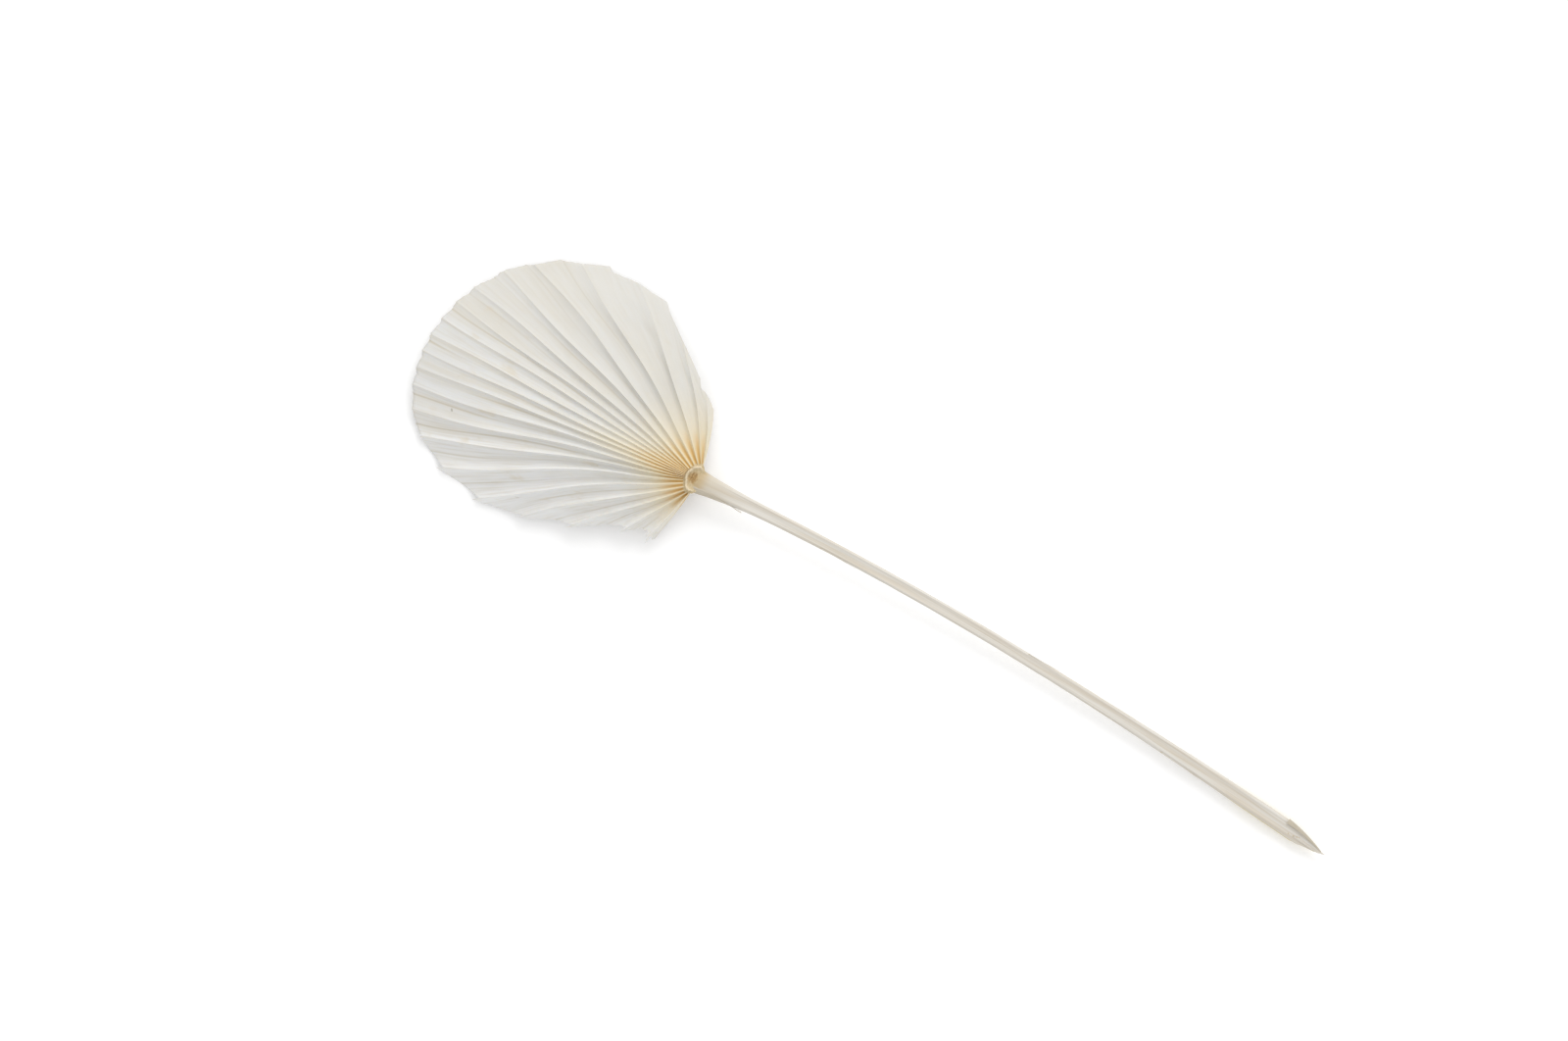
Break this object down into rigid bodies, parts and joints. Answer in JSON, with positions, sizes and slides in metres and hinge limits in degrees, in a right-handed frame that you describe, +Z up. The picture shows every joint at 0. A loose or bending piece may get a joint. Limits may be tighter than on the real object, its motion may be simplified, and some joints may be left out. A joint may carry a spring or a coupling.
{
  "type": "fan palm leaf",
  "caption": "Dried, bleached fan palm leaf with a pleated blade trimmed to a round outline, a small collar where the ribs meet, and a long tapering stalk.",
  "frame": {"origin": "centre of the leaf's bounding box in plan, at the height of the surface that it lies on", "axes": "+X along the leaf from the blade's tip towards the cut end of the stalk, +Y across the leaf, +Z up out of the blade's upper side"},
  "size_m": [0.5246, 0.1356, 0.0236],
  "materials": {
    "blade": "matt bleached leaf tissue with fine veins along the pleats and an ochre stain near the hub",
    "petiole": "matt bleached plant fibre with beige streaks along its length",
    "hastula": "matt, rough plant fibre, pale at the crest and ochre inside"
  },
  "bodies": {
    "root": {"blade": "blade", "petiole": "petiole", "hastula": "hastula"}
  },
  "joints": []
}
